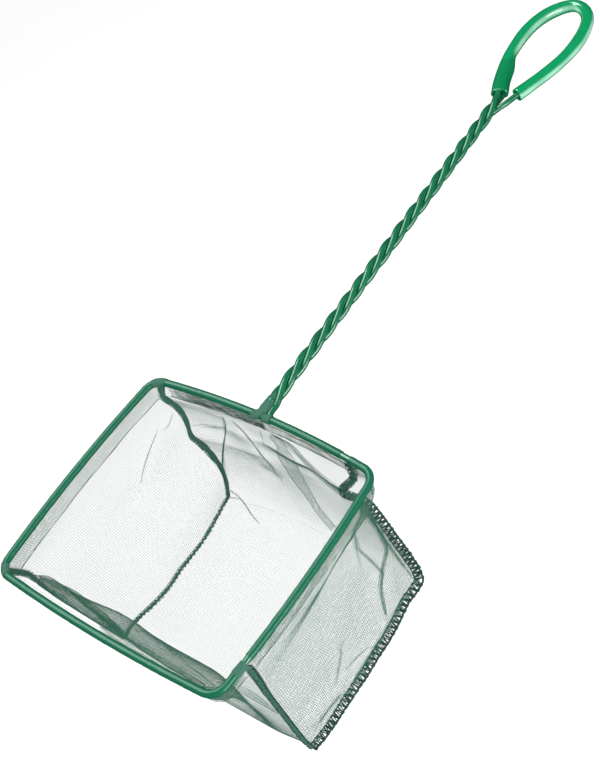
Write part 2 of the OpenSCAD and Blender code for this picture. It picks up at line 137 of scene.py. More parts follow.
lightSet = {
    "world": 0.56,
    "aim": (0, -0.3, 0),
    "key": {"place": (-1.0, -0.25, 1.5), "size": (1.8, 0.9), "power": 22.0},
    "rim": {"place": (1.35, -0.55, 0.25), "size": (0.9, 0.8), "power": 11.0},
}
world = bpy.data.worlds.new("studio")
scene.world = world
world.use_nodes = True
setInputs(world.node_tree.nodes["Background"],
          {"Color": (1, 1, 1, 1), "Strength": lightSet["world"]})
world.cycles_visibility.glossy = False


def softBox(name, place, size, power):
    # oblong lamp aimed near the middle of the net
    lamp = bpy.data.lights.new(name, "AREA")
    lamp.shape = "RECTANGLE"
    lamp.size, lamp.size_y = size
    lamp.energy = power
    obj = bpy.data.objects.new(name, lamp)
    scene.collection.objects.link(obj)
    z = unitOf(np.array(place, float) - np.array(lightSet["aim"]))
    x = unitOf(np.cross((0, 0, 1.0), z))
    y = np.cross(z, x)
    obj.matrix_world = Matrix([[x[i], y[i], z[i], place[i]] for i in range(3)] + [[0, 0, 0, 1]])


softBox("keyLight", **lightSet["key"])
softBox("rimLight", **lightSet["rim"])
print("camera, floor and lights done")


# Mesh helpers
def addMesh(name, parts, material):
    # one piece of the net, riding on the only body
    points, faces = joinParts(parts)
    mesh = bpy.data.meshes.new(name)
    co = (points - [0, hookY, 0]) / 1000
    mesh.vertices.add(len(co))
    mesh.vertices.foreach_set("co", co.ravel())
    mesh.loops.add(faces.size)
    mesh.loops.foreach_set("vertex_index", faces.ravel().astype(np.int32))
    mesh.polygons.add(len(faces))
    mesh.polygons.foreach_set(
        "loop_start", (np.arange(len(faces)) * faces.shape[1]).astype(np.int32)
    )
    mesh.polygons.foreach_set("use_smooth", np.ones(len(faces), bool))
    mesh.update(calc_edges=True)
    mesh.materials.append(material)
    obj = bpy.data.objects.new(name, mesh)
    scene.collection.objects.link(obj)
    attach(obj, "root")
    print(name, len(faces), "triangles")
    return obj


def gridFaces(rows, cols, closed=False, first=0):
    # quads of a grid of points; closed joins the last column to the first
    i = np.arange(rows - 1)[:, None]
    j = np.arange(cols if closed else cols - 1)[None, :]
    a = i * cols + j
    b = i * cols + (j + 1) % cols
    return first + np.stack([a, b, b + cols, a + cols], -1).reshape(-1, 4)


def pathLength(path):
    return np.r_[0, np.cumsum(np.linalg.norm(np.diff(path, axis=0), axis=1))]


def pointsAt(s, lineS, line):
    # points of a line at lengths s along it, where lineS holds its own points' lengths
    return np.stack([np.interp(s, lineS, line[:, k]) for k in range(3)], -1)


def resample(path, step=None, count=None):
    # evenly spaced points along a path, by their distance or by their number
    path = np.asarray(path, float)
    s = pathLength(path)
    if count is None:
        count = max(int(round(s[-1] / step)), 2) + 1
    return pointsAt(np.linspace(0, s[-1], count), s, path)


def spline(points, step):
    # smooth curve through points, by a cubic piece between each two, evenly spaced
    p = np.asarray(points, float)
    q = np.vstack([2 * p[0] - p[1], p, 2 * p[-1] - p[-2]])
    t = np.linspace(0, 1, 17)[:-1, None]
    out = []
    for k in range(len(p) - 1):
        a, b, c, d = q[k : k + 4]
        out.append(
            0.5 * (2 * b + (c - a) * t + (2 * a - 5 * b + 4 * c - d) * t**2
                   + (3 * b - a - 3 * c + d) * t**3)
        )
    out.append(p[-1:])
    return resample(np.vstack(out), step)


def tangents(path):
    return unitOf(np.gradient(path, axis=0))


def sweepRings(path, radius, sides, normal=upDir, wide=None):
    # rings across a path, one axis square to normal, with a second radius for ovals
    t = tangents(path)
    across = unitOf(np.cross(normal, t))
    over = np.cross(t, across)
    r = np.broadcast_to(radius, len(path))[:, None, None]
    w = r if wide is None else np.broadcast_to(wide, len(path))[:, None, None]
    a = (2 * np.pi * (np.arange(sides) + 0.5) / sides)[None, :, None]
    return path[:, None] + w * np.cos(a) * across[:, None] + r * np.sin(a) * over[:, None]


def sweepTube(path, radius, sides, normal=upDir, wide=None):
    # points and faces of a capped round or oval bar along a path
    points = sweepRings(path, radius, sides, normal, wide).reshape(-1, 3)
    middle = len(points)
    last = middle - sides
    k = np.arange(sides)
    k2 = (k + 1) % sides
    start = np.stack([np.full(sides, middle), k2, k, k], -1)
    end = np.stack([np.full(sides, middle + 1), last + k, last + k2, last + k2], -1)
    faces = [gridFaces(len(path), sides, closed=True), start, end]
    return np.vstack([points, path[:1], path[-1:]]), faces


def joinParts(parts):
    # puts several (points, [faces]) together, with quads split to triangles
    points, tris, first = [], [], 0
    for p, fs in parts:
        for f in fs:
            f = np.asarray(f)
            if f.shape[1] == 4:
                t = np.vstack([f[:, [0, 1, 2]], f[:, [0, 2, 3]]])
                t = t[(t[:, 0] != t[:, 1]) & (t[:, 1] != t[:, 2]) & (t[:, 2] != t[:, 0])]
            else:
                t = f
            tris.append(t + first)
        points.append(p)
        first += len(p)
    return np.vstack(points), np.vstack(tris)


# Materials of the object
def plastic(name, low, high, rough, coat, coatRough=0.14, specular=0.8, scale=180.0,
            tint=(0.75, 1, 0.88)):
    mat, tree, shader = nodeMaterial(name)
    mixedColour(tree, shader, low, high, scale, rough=rough, bump=(0.05, 0.0002))
    setInputs(shader, {"Coat Weight": coat, "Coat Roughness": coatRough, "Coat IOR": 1.9,
                       "Coat Tint": (*tint, 1), "Specular Tint": (*tint, 1),
                       "Specular IOR Level": specular, "IOR": 1.5})
    return mat


def addTone(mat, attribute, colour):
    # blends another colour into a material by a number kept on the mesh
    tree = mat.node_tree
    shader = tree.nodes["Principled BSDF"]
    base = shader.inputs["Base Color"].links[0].from_socket
    amount = tree.nodes.new("ShaderNodeAttribute")
    amount.attribute_name = attribute
    mix = tree.nodes.new("ShaderNodeMix")
    mix.data_type = "RGBA"
    tree.links.new(amount.outputs["Fac"], mix.inputs[0])
    tree.links.new(base, mix.inputs[6])
    mix.inputs[7].default_value = (*colour, 1)
    tree.links.new(mix.outputs[2], shader.inputs["Base Color"])


def cloth(name, low, high, scale=900.0):
    mat, tree, shader = nodeMaterial(name)
    mixedColour(tree, shader, low, high, scale, rough=0.75, bump=(0.3, 0.0003))
    shader.inputs["Specular IOR Level"].default_value = 0.2
    return mat


wireMat = plastic("wireCoat", (0.004, 0.185, 0.088), (0.007, 0.235, 0.115), 0.3, coat=1.0,
                  coatRough=0.28)
sleeveMat = plastic("softSleeve", (0.002, 0.37, 0.145), (0.004, 0.42, 0.17), 0.2, coat=1.0,
                    tint=(0.8, 1, 0.9))
# darker where the wire is doubled inside, and painted shade on the underside
addTone(sleeveMat, "doubledWireAndShade", (0.001, 0.2, 0.075))
# painted light: a paler band where light comes through the sleeve's wall
addTone(sleeveMat, "paintedThroughLight", (0.60, 0.95, 0.78))
casingMat = plastic("hemCasing", (0.004, 0.142, 0.075), (0.009, 0.195, 0.104), 0.36, coat=0.22,
                    coatRough=0.25, specular=0.5, scale=2600.0)
meshMat = cloth("meshThread", (0.055, 0.175, 0.118), (0.08, 0.215, 0.155))
foldMat = cloth("foldedMesh", (0.03, 0.185, 0.115), (0.052, 0.23, 0.15))
hemMat = cloth("hemCloth", (0.05, 0.165, 0.112), (0.075, 0.205, 0.148))
seamMat = cloth("seamCloth", (0.045, 0.165, 0.112), (0.085, 0.23, 0.165), scale=1500.0)
greenThread = cloth("greenThread", (0.03, 0.12, 0.083), (0.065, 0.19, 0.14), scale=1500.0)
threadMat = cloth("seamThread", (0.018, 0.066, 0.047), (0.04, 0.11, 0.082), scale=1500.0)

# Rim line
rimSet = {"halfW": 75.0, "halfL": 65.0, "cornerR": 9.0, "endBow": 2.8, "handleBow": 5.0,
          "frontBow": 2.5, "wireR": 1.7, "rootR": 4.0, "twistR": 2.07}
halfW, halfL, cornerR = rimSet["halfW"], rimSet["halfL"], rimSet["cornerR"]
endR = (halfL**2 + rimSet["endBow"] ** 2) / (2 * rimSet["endBow"])
backR = (halfW**2 + rimSet["handleBow"] ** 2) / (2 * rimSet["handleBow"])
frontR = (halfW**2 + rimSet["frontBow"] ** 2) / (2 * rimSet["frontBow"])
endC = np.array([halfW + rimSet["endBow"] - endR, 0.0])
backC = np.array([0.0, halfL + rimSet["handleBow"] - backR])
frontC = np.array([0.0, frontR - halfL - rimSet["frontBow"]])


def crossing(c1, r1, c2, r2, hand):
    # where two circles cross, on the side that hand names
    d = np.linalg.norm(c2 - c1)
    e = (c2 - c1) / d
    a = (r1**2 - r2**2 + d**2) / (2 * d)
    return c1 + a * e + hand * math.sqrt(r1**2 - a**2) * np.array([-e[1], e[0]])


def heading(v):
    # angle of a flat direction, in degrees
    return math.degrees(math.atan2(v[1], v[0]))


backK = crossing(endC, endR - cornerR, backC, backR - cornerR, 1)
frontK = crossing(endC, endR - cornerR, frontC, frontR - cornerR, -1)


def arc(c, r, fromA, toA, step=0.8):
    # points of an arc between two angles in degrees
    n = max(int(abs(toA - fromA) * math.pi / 180 * r / step), 6)
    a = np.radians(np.linspace(fromA, toA, n + 1))
    return np.stack([c[0] + r * np.cos(a), c[1] + r * np.sin(a), 0 * a], -1)


rootC = np.array([rimSet["twistR"] + rimSet["rootR"], 0.0])
rootC[1] = backC[1] + math.sqrt((backR + rimSet["rootR"]) ** 2 - rootC[0] ** 2)
rootA = math.degrees(math.asin(rootC[0] / (backR + rimSet["rootR"])))
twistY = rootC[1]
halfRim = np.vstack([
    arc(backC, backR, 90 - rootA, heading(backK - backC))[:-1],
    arc(backK, cornerR, heading(backK - backC), heading(backK - endC))[:-1],
    arc(endC, endR, heading(backK - endC), heading(frontK - endC))[:-1],
    arc(frontK, cornerR, heading(frontK - endC), heading(frontK - frontC))[:-1],
    arc(frontC, frontR, heading(frontK - frontC), -90),
])
rootBend = arc(rootC, rimSet["rootR"], 180, 270 - rootA, 0.4)
mirrorX = np.array([-1.0, 1, 1])
openRim = np.vstack([rootBend[:-1], halfRim, (halfRim * mirrorX)[::-1][1:],
                     (rootBend * mirrorX)[::-1][1:]])
topArc = arc(backC, backR, 90, 90 - rootA)
loopHalf = np.vstack([topArc[:-1], halfRim])
rimLoop = np.vstack([loopHalf, (loopHalf * mirrorX)[::-1][1:]])
rimS = pathLength(rimLoop)
rimTotal = rimS[-1]


def rimAt(s):
    # points and outward directions of the rim's line at lengths s from the handle
    s = np.mod(s, rimTotal)
    ahead = pointsAt(np.mod(s + 0.6, rimTotal), rimS, rimLoop)
    behind = pointsAt(np.mod(s - 0.6, rimTotal), rimS, rimLoop)
    return pointsAt(s, rimS, rimLoop), np.cross(unitOf(ahead - behind), upDir) * -1.0


def rimNear(x, y):
    # length along the rim of its point nearest (x, y)
    return rimS[np.argmin(np.hypot(rimLoop[:, 0] - x, rimLoop[:, 1] - y))]


# Wire: rim, twist and loop
twistSet = {"pitch": 41.3, "length": 236.25, "fallBack": 60.0, "fallRun": 6.0,
            "neckRun": 11.0, "tailStart": 4.0, "cutRun": 31.0, "leave": 11.0, "sides": 20,
            "gap": 0.1, "turns": 6, "lean": (1.2, 3.9), "leanRun": 0.08,
            "aimX": 2.5, "aimSlope": 0.31}
neckY = twistY + twistSet["length"]
touchR = (2 * rimSet["wireR"] + twistSet["gap"]) / math.sqrt(3)
twistR = touchR / math.sqrt(math.cos(math.atan(2 * math.pi * touchR / twistSet["pitch"])))
pairHalf = twistR * math.sin(math.radians(60))
turnsA = 360 * (twistSet["turns"] - 1 / 6)  # degrees over the whole twist


def axisX(y):
    # the handle isn't quite straight: its axis leans to the left as it goes out
    k = np.clip((y - twistY) / twistSet["length"], 0, 1)
    start, end = twistSet["lean"]
    return -start * smoothStep(k / twistSet["leanRun"]) - (end - start) * k


def twistPoint(s, a):
    # point of a strand at length s along the twist, turned by a degrees
    a = np.radians(a)
    y = twistY + s
    return np.stack([axisX(y) + twistR * np.cos(a), y, twistR * np.sin(a)], -1)


def spin(s):
    return turnsA * s / twistSet["length"]


loopLine = spline([(-6, 310.3, 0), (-8, 315.9, 0), (-11.4, 323.6, 0), (-15, 335.4, 0),
                   (-17.3, 347, 0), (-18.4, 359, 0), (-18.3, 368, 0), (-16.6, 377, 0),
                   (-12.8, 385.5, 0), (-6.8, 392.3, 0), (-0.3, 395.2, 0), (6.6, 392.8, 0),
                   (12.4, 386.2, 0), (15.6, 377, 0), (16.9, 367, 0), (16.6, 357, 0), (14.9, 347, 0),
                   (11.9, 336.5, 0), (8.4, 326.8, 0), (5.2, 318.3, 0), (3.5, 313.4, 0),
                   (2.5, 310.3, 0)], step=0.8)
loopS = pathLength(loopLine)


def loopAt(s):
    # loop wire's line at lengths s from the neck, up its left arm
    return pointsAt(s, loopS, loopLine)


def loopInward(s):
    # direction from the loop's wire towards its inside
    t = unitOf(loopAt(s + 0.5) - loopAt(s - 0.5))
    return np.cross(t, upDir)


twistLen = twistSet["length"]
body = np.arange(0, twistLen, 0.8)
neckS = np.arange(0.4, twistSet["neckRun"] + 0.2, 0.8)
neckX = float(axisX(neckY))


def pairNeck(hand, s):
    # the two strands of the left arm turn from one above the other to side by side
    k = smoothStep(s / twistSet["neckRun"])[:, None]
    inward = loopInward(s)
    along = loopAt(s) + inward * pairHalf
    mid = (1 - k) * np.stack([0 * s + neckX - twistR / 2, neckY + s, 0 * s], -1) + k * along
    return mid + hand * pairHalf * (-np.sin(np.pi / 2 * k) * inward
                                    + np.cos(np.pi / 2 * k) * upDir)


leftWire = np.vstack([twistPoint(body, 180 + spin(body)), pairNeck(1, neckS)])
fall = twistSet["fallBack"] * smoothStep(body / twistSet["fallRun"])
cutS = np.arange(0.4, twistSet["cutRun"], 0.8)
rightWire = np.vstack([twistPoint(body, spin(body) - fall), pairNeck(-1, cutS)])
# the tail strand leaves the twist early and runs straight for the loop's right arm
tailBody = body[body >= twistSet["tailStart"]]
tailTwist = twistPoint(tailBody, 60 + spin(tailBody))
leave = smoothStep((tailBody - twistLen + twistSet["leave"]) / twistSet["leave"])[:, None]
aimX = twistSet["aimX"] - twistSet["aimSlope"] * (neckY - tailTwist[:, 1])
aim = np.stack([aimX, tailTwist[:, 1], 0 * aimX], -1)
endS = loopS[-1] - neckS
tailWire = np.vstack([(1 - leave) * tailTwist + leave * aim, loopAt(endS)])
armLine = loopAt(np.arange(neckS[-1] + 0.8, endS[-1], 0.8))
# one continuous wire: cut end, twist, loop, twist, rim, twist, cut end
wholeWire = np.vstack([tailWire, armLine[::-1], leftWire[::-1],
                       openRim[::-1][1:-1], rightWire])
wholeWire = resample(wholeWire, 0.8)
for turn in range(2):
    wholeWire[1:-1] = 0.25 * wholeWire[:-2] + 0.5 * wholeWire[1:-1] + 0.25 * wholeWire[2:]


def snipped(path, r):
    # radius along a path, rounded off at both ends like cut plastic
    s = pathLength(path)
    edge = np.clip(np.minimum(s, s[-1] - s) / 0.9, 0, 1)
    return r * np.sqrt(1 - (1 - edge) ** 2 * 0.55)


coat = sweepTube(wholeWire, snipped(wholeWire, rimSet["wireR"]), twistSet["sides"])
wireObj = addMesh("coatedWire", [coat], wireMat)
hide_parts("rim_core", "rim_coat", "left_strand_core", "left_strand_coat",
            "right_strand_core", "right_strand_coat", "tail_strand_core",
            "tail_strand_coat", "loop_core", "loop_coat")
print("wire done,", round(pathLength(wholeWire)[-1]), "mm long")

# Sleeve
sleeveSet = {"r": 3.75, "bore": 2.25, "start": 4.6, "end": 6.7, "sides": 48, "cut": 31.0,
             "fadeLead": 8.0, "fadeRun": 17.0, "squeeze": (0.5, 0.3),
             # keys from here to glint place the painted band of light on the wall and its painted
             # glint
             "throughLightLeft": (160, 24), "throughLightRight": (8, 23), "turn": (0.53, 0.62),
             "throughLightFrom": 0.16, "throughLightRun": 0.06, "turnRun": 0.05, "glint": (0.86, 0.14, 60),
             "deepCut": 0.62, "deepFrom": 0.35, "deepRun": 0.4, "stripes": (0.8, 0.2, 3),
             # painted shade along the sleeve's underside: its strength, then its angle and width round
             # the tube
             "underShadeLevel": 0.5, "under": (255, 48)}
sleeveS = np.arange(sleeveSet["start"], loopS[-1] - sleeveSet["end"], 0.8)
# one where the cut end lies beside the loop's wire, fading to nought past it
beside = 1 - smoothStep((sleeveS - sleeveSet["cut"] + sleeveSet["fadeLead"])
                        / sleeveSet["fadeRun"])
sleeveLine = loopAt(sleeveS) + loopInward(sleeveS) * (pairHalf * beside)[:, None]
swell = 0.10 * np.sin(sleeveS / 9.0) + 0.06 * np.sin(sleeveS / 4.1 + 1)


def sleeveSkin(r, spread):
    # rings across the sleeve, drawn wide by spread where it covers the cut end too
    across = unitOf(np.cross(upDir, tangents(sleeveLine)))
    a = 2 * np.pi * np.arange(sleeveSet["sides"]) / sleeveSet["sides"]
    c, s = np.cos(a)[None, :, None], np.sin(a)[None, :, None]
    apart = np.tanh(c * 4) * spread[:, None, None]
    r = r[:, None, None]
    return sleeveLine[:, None] + (c * r + apart) * across[:, None] + s * r * upDir


spread = pairHalf * beside
outer = sleeveSkin(sleeveSet["r"] + swell - sleeveSet["squeeze"][0] * beside, spread)
inner = sleeveSkin(sleeveSet["bore"] - sleeveSet["squeeze"][1] * beside, spread)
rows, sides = len(sleeveS), sleeveSet["sides"]
k = np.arange(sides)
k2 = (k + 1) % sides
last = (rows - 1) * sides
bore = rows * sides  # the number of the bore's first point
sleevePoints = np.vstack([outer.reshape(-1, 3), inner.reshape(-1, 3)])
sleeveFaces = [gridFaces(rows, sides, closed=True),
               gridFaces(rows, sides, closed=True, first=bore)[:, ::-1],
               np.stack([k2, k, bore + k, bore + k2], -1),
               np.stack([last + k, last + k2, bore + last + k2, bore + last + k], -1)]
sleeveObj = addMesh("sleeve", [(sleevePoints, sleeveFaces)], sleeveMat)
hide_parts("loop_sleeve")

# Painted light: where no wire lies behind the wall, a paler band stands in for the light that
# comes through, inside the bend on the left arm and outside it on the right arm.
along = np.linspace(0, 1, len(sleeveS))[:, None]
ring = np.degrees(2 * np.pi * np.arange(sleeveSet["sides"]) / sleeveSet["sides"])[None, :]


def band(middle, width):
    # soft stripe along the tube, round an angle about its line
    off = (ring - middle + 180) % 360 - 180
    return np.exp(-((off / width) ** 4))


def keepTone(name, amount):
    # keeps a number for each point of the outer wall, and nought on the bore
    both = np.concatenate([amount.ravel(), 0 * amount.ravel()]).astype(np.float32)
    sleeveObj.data.attributes.new(name, "FLOAT", "POINT").data.foreach_set("value", both)


turnA, turnB = sleeveSet["turn"]
throughLightRun, turnRun = sleeveSet["throughLightRun"], sleeveSet["turnRun"]
leftRun = smoothStep((along - sleeveSet["throughLightFrom"]) / throughLightRun)
leftRun = (1 - smoothStep((along - turnA) / turnRun)) * leftRun
leftBand = band(*sleeveSet["throughLightLeft"]) * leftRun
rightBand = band(*sleeveSet["throughLightRight"]) * smoothStep((along - turnB + throughLightRun) / turnRun)
# painted glint: the painted band of light grows and fades along the tube
level, change, pace = sleeveSet["glint"]
keepTone("paintedThroughLight", np.clip(leftBand + rightBand, 0, 1)
         * (level + change * np.sin(along * pace)))
# darker where the cut end lies beside the wire and the doubled wire shows through, and painted shade
# along the tube's underside
level, change, pace = sleeveSet["stripes"]
stripes = level + change * np.cos(np.radians(ring * pace))
cutShare = smoothStep((beside[:, None] - sleeveSet["deepFrom"]) / sleeveSet["deepRun"])
deep = sleeveSet["deepCut"] * cutShare * stripes
under = sleeveSet["underShadeLevel"] * band(*sleeveSet["under"])
keepTone("doubledWireAndShade", np.clip(deep + under, 0, 1))
print("sleeve done")

# Seams as lines on the bag
seamSet = {
    "leftBack": [(-70.4, 64.8, -2), (-71.3, 63.6, -5.5), (-71.6, 62.4, -10.7), (-71, 63.3, -15.2),
                 (-70.2, 64.7, -20.3), (-69.3, 65.3, -26.3), (-68.6, 64.8, -33), (-68.4, 63.6, -39),
                 (-68.2, 62, -45.7), (-67.1, 62.9, -51.2), (-65.5, 64, -58.7), (-63.9, 64.2, -66.2),
                 (-62.3, 64, -74.3), (-61.3, 63, -80.6), (-60.9, 61.3, -86.6), (-60.9, 59.3, -92.3),
                 (-61.1, 57.1, -98)],
    "leftLow": [(-61.1, 57.1, -98), (-61.6, 53.1, -99), (-61, 45.8, -100), (-60.4, 38.5, -101),
                (-59.9, 28.3, -102), (-59.9, 19.5, -102), (-60.9, 12.3, -103), (-61.1, 5.7, -103),
                (-60.3, -4.8, -103), (-60.2, -13.8, -102), (-61.6, -21.6, -102),
                (-62.6, -29.1, -101), (-62.6, -37, -100), (-60.4, -44.4, -99)],
    "leftFront": [(-72.6, -62.6, -2.5), (-74.8, -58.4, -12.1), (-75.2, -55.5, -19),
                  (-74.8, -55, -24.9), (-73.9, -54.5, -31.4), (-72.2, -53.6, -42.9),
                  (-69.6, -51.2, -58.6), (-66.1, -48.4, -75.4), (-60.4, -44.4, -99)],
    "rightBack": [(55.8, 68.5, -2), (55.8, 67.1, -6.3), (56.6, 66.3, -10.9), (56.7, 65.1, -14.6),
                  (54, 63.4, -18.5), (49.7, 61.5, -23.2), (49.9, 60.5, -26.3), (51.3, 62.4, -30.9),
                  (53.1, 65.2, -36.7), (55.9, 66.6, -44.4), (58.8, 66.5, -53), (61.5, 66, -61.3),
                  (64.3, 65.4, -69.5), (67.2, 64.8, -77.8), (69.8, 64.2, -85.2),
                  (72.2, 63.1, -92.2), (73.6, 61.3, -98)],
    "rightLow": [(73.6, 61.3, -98), (73.4, 55.2, -99), (72.5, 48.1, -100), (73.2, 39.8, -101),
                 (74.1, 29.1, -102), (74.4, 15.1, -102), (74.9, 3.9, -102), (75.5, -15.1, -101),
                 (76.2, -31.1, -100), (75.6, -43.4, -99)],
    "rightFront": [(76.8, -44.7, -3), (76.5, -44.5, -16.8), (75.6, -44.7, -30.1),
                   (75.1, -44.6, -43.9), (74.9, -44.5, -59.1), (75, -44.5, -75.5),
                   (75.4, -44.4, -88.6), (75.6, -43.4, -99)],
}
seamLine = {name: spline(points, step=0.5) for name, points in seamSet.items()}

# Bag surfaces
bagSet = {"pitch": 1.2, "threadR": 0.087, "backThreadR": 0.078, "farThreadR": 0.073,
          "wobble": 0.09, "crease": 7.0, "topDrop": 2.0, "edgePoints": 200,
          "across": 150, "wallRun": 104, "floorRun": 104, "endRun": 112,
          "corners": {"A": (-72.6, -62.6), "B": (-70.4, 64.8), "C": (55.8, 69.0),
                      "D": (77.5, -44.7)}}


def coons(top, bottom, left, right, across, down):
    # surface between four edge lines; rows run down from top, columns from left to right
    t, b = resample(top, count=across), resample(bottom, count=across)
    left, right = resample(left, count=down), resample(right, count=down)
    u = np.linspace(0, 1, across)[None, :, None]
    v = np.linspace(0, 1, down)[:, None, None]
    corner = ((1 - u) * (1 - v) * t[0] + u * (1 - v) * t[-1]
              + (1 - u) * v * b[0] + u * v * b[-1])
    return ((1 - v) * t[None] + v * b[None] + (1 - u) * left[:, None] + u * right[:, None]
            - corner)


def rimEdge(fromS, toS):
    # top edge of cloth: below the wire, along the rim between two lengths
    return rimAt(np.linspace(fromS, toS, bagSet["edgePoints"]))[0] - [0, 0, bagSet["topDrop"]]


# lengths along the rim to the bag's corners: A far left, B near left, C near right, D far right
sA, sB, sC, sD = (rimNear(*bagSet["corners"][name]) for name in "ABCD")
backTop = rimEdge(sB, sC + rimTotal)
rightTop = rimEdge(sC, sD)
frontTop = rimEdge(sA, sD)
leftTop = rimEdge(sB, sA)
foldBack = spline([seamLine["leftBack"][-1], (-25, 63, -100), (25, 64, -101),
                   seamLine["rightBack"][-1]], step=1)
foldFront = spline([seamLine["leftLow"][-1], (-10, -46, -101), (35, -46, -101),
                    seamLine["rightLow"][-1]], step=1)

nAcross, nWall, nFloor, nEnd = (int(bagSet[name] / bagSet["pitch"])
                                for name in ("across", "wallRun", "floorRun", "endRun"))
backWall = coons(backTop, foldBack, seamLine["leftBack"], seamLine["rightBack"],
                 nAcross, nWall)
floorPart = coons(foldBack, foldFront, seamLine["leftLow"], seamLine["rightLow"],
                  nAcross, nFloor)
frontWall = coons(frontTop, foldFront, seamLine["leftFront"], seamLine["rightFront"],
                  nAcross, nWall)

# The far wall swells inward below its hem. Near its left end it first lies in as a shelf.
# The shares are of the wall's height or length.
farSet = {"reach": 12.5, "hem": 0.09, "top": 0.6, "leftFade": 0.08, "rightFade": 0.3,
          "leftShare": 0.42, "growFrom": 0.12, "growRun": 0.36,
          "shelf": 4.5, "shelfTo": 0.34, "shelfFade": 0.12, "shelfLip": 0.035}
v = np.linspace(0, 1, nWall)[:, None]
u = np.linspace(0, 1, nAcross)[None, :]
below = np.clip((v - farSet["hem"]) / (1 - farSet["hem"]), 0, 1)
swellShape = np.sin(np.pi * below ** farSet["top"])
ends = smoothStep(u / farSet["leftFade"]) * smoothStep((1 - u) / farSet["rightFade"])
grow = smoothStep((u - farSet["growFrom"]) / farSet["growRun"])
reach = farSet["reach"] * (farSet["leftShare"] + (1 - farSet["leftShare"]) * grow)
shelf = 1 - smoothStep((u - farSet["shelfTo"]) / farSet["shelfFade"])
shelf = shelf * smoothStep(below / farSet["shelfLip"]) * (1 - below) ** 2.5
frontWall[..., 1] += ends * (reach * swellShape + farSet["shelf"] * shelf)

strip = np.vstack([backWall, floorPart[1:], frontWall[::-1][1:]])
rowsBack, rowsFloor = nWall, nWall + nFloor - 2


def softenRows(grid, row, reach):
    # rounds a crease that runs along a row, by averaging down the columns near it
    w = np.exp(-((np.arange(len(grid)) - row) / reach) ** 2)[:, None, None]
    smooth = grid.copy()
    for turn in range(24):
        smooth[1:-1] = (smooth[:-2] + 2 * smooth[1:-1] + smooth[2:]) / 4
    return grid * (1 - w) + smooth * w


for row in (rowsBack - 1, rowsFloor):
    strip[:, 1:-1] = softenRows(strip, row, bagSet["crease"])[:, 1:-1]
leftPanel = coons(leftTop, seamLine["leftLow"], seamLine["leftBack"], seamLine["leftFront"],
                  nEnd, nWall)
rightPanel = coons(rightTop, seamLine["rightLow"], seamLine["rightBack"],
                   seamLine["rightFront"], nEnd, nWall)


def gridNormals(grid):
    return unitOf(np.cross(np.gradient(grid, axis=1), np.gradient(grid, axis=0)))


def drift(shape, cells, amount):
    # slow random field over a grid, for soft billows
    coarse = rng.normal(size=(cells[0] + 1, cells[1] + 1))
    a = np.linspace(0, cells[0], shape[0])
    b = np.linspace(0, cells[1], shape[1])
    i, j = np.minimum(a.astype(int), cells[0] - 1), np.minimum(b.astype(int), cells[1] - 1)
    fa, fb = smoothStep(a - i)[:, None], smoothStep(b - j)[None, :]
    top = coarse[np.ix_(i, j)] * (1 - fb) + coarse[np.ix_(i, j + 1)] * fb
    low = coarse[np.ix_(i + 1, j)] * (1 - fb) + coarse[np.ix_(i + 1, j + 1)] * fb
    return amount * (top * (1 - fa) + low * fa)


def meshThreads(grid, r, wobble):
    # mesh as three-sided threads along both ways of a grid of knots
    rows, cols = grid.shape[:2]
    normal = gridNormals(grid)
    alongRow = unitOf(np.gradient(grid, axis=1))
    downCol = unitOf(np.gradient(grid, axis=0))
    knots = grid + wobble * (rng.normal(size=(rows, cols, 1)) * alongRow
                             + rng.normal(size=(rows, cols, 1)) * downCol)
    a = 2 * np.pi * np.arange(3) / 3
    base = (np.arange(rows)[:, None] * cols + np.arange(cols)[None, :]) * 3
    points, tris = [], []
    for along, start, end in ((downCol, base[:-1], base[1:]),
                              (alongRow, base[:, :-1], base[:, 1:])):
        side = unitOf(np.cross(normal, along))
        rings = knots[:, :, None] + r * (np.cos(a)[:, None] * normal[:, :, None]
                                         + np.sin(a)[:, None] * side[:, :, None])
        first = sum(len(q) for q in points)
        points.append(rings.reshape(-1, 3))
        for k in range(3):
            k2 = (k + 1) % 3
            quad = first + np.stack([start + k, start + k2, end + k2, end + k], -1)
            quad = quad.reshape(-1, 4)
            tris += [quad[:, [0, 1, 2]], quad[:, [0, 2, 3]]]
    return np.vstack(points), [np.vstack(tris)]


def spreadOver(values, count):
    # values spread evenly over a number of points
    return np.interp(np.linspace(0, 1, count), np.linspace(0, 1, len(values)), values)


def ribbonGrid(path, widths, normal, pitch):
    # grid of knots on a ribbon: rows across, columns along, its width given along it
    path = resample(path, pitch)
    w = spreadOver(widths, len(path))
    side = unitOf(np.cross(normal, tangents(path)))
    rows = max(int(round(max(widths) / pitch)), 2) + 1
    k = np.linspace(-0.5, 0.5, rows)[:, None, None]
    return path[None] + k * w[None, :, None] * side[None]


def secondMaterial(obj, mat, firstPart):
    # gives the faces after the first part's another material
    obj.data.materials.append(mat)
    index = np.ones(len(obj.data.polygons), np.int32)
    index[: len(joinParts([firstPart])[1])] = 0
    obj.data.polygons.foreach_set("material_index", index)
    obj.data.update()


def meshSheet(name, grid, extra=(), threadR=bagSet["threadR"]):
    # one cloth of the bag with what is folded on it
    parts = [meshThreads(grid, threadR, bagSet["wobble"]), *extra]
    obj = addMesh(name, parts, meshMat)
    secondMaterial(obj, foldMat, parts[0])
    return obj


def billow(grid, cells, amount):
    # moves a cloth's knots out of its plane by a slow random field, least at its sides
    edge = np.sin(np.pi * np.linspace(0, 1, grid.shape[1]))[None, :, None]
    return grid + gridNormals(grid) * drift(grid.shape[:2], cells, amount)[..., None] * edge


# number of billows down and across each cloth, and their height
billowSet = {"strip": ((10, 6), 0.55), "endPanel": ((5, 5), 0.6)}
strip = billow(strip, *billowSet["strip"])
leftPanel = billow(leftPanel, *billowSet["endPanel"])
rightPanel = billow(rightPanel, *billowSet["endPanel"])

